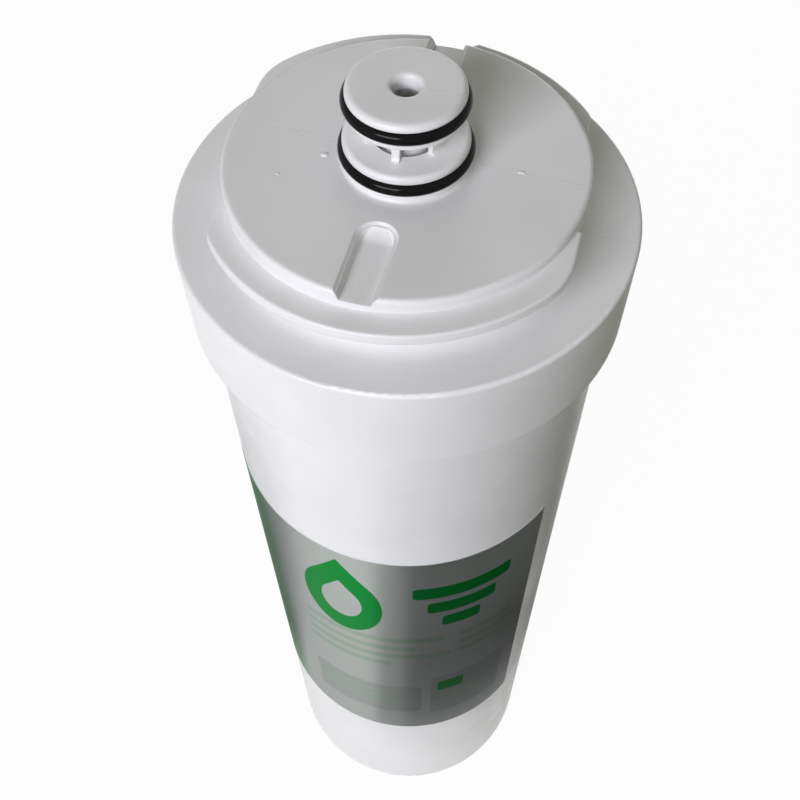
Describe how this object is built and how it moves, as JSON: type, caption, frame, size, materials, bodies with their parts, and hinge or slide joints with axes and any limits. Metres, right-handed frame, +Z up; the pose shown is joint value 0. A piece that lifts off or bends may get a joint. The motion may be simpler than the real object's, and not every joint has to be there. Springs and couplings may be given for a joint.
{
  "type": "sediment filter cartridge",
  "caption": "Sealed upright water filter cartridge: moulded shell, bayonet head with ramped lugs and a sealed spigot, melt-blown sediment element inside.",
  "frame": {"origin": "centre of the foot ring that the cartridge stands on", "axes": "+Z up along the cartridge's axis to the spigot; -Y towards the front key slot"},
  "size_m": [0.09, 0.09, 0.3036],
  "materials": {
    "white_plastic": "satin moulded",
    "black_rubber": "moulded",
    "label_print": "printed film",
    "filter_media": "melt-blown fibre",
    "inner_plastic": "moulded"
  },
  "bodies": {
    "root": {"housing_shell": "white_plastic", "head_cap": "white_plastic", "upper_spigot_ring": "black_rubber", "lower_spigot_ring": "black_rubber", "label_film": "label_print", "filter_sleeve": "filter_media", "core_tube": "inner_plastic", "upper_end_cap": "inner_plastic", "lower_end_cap": "inner_plastic", "hub_ring": "black_rubber"}
  },
  "joints": []
}
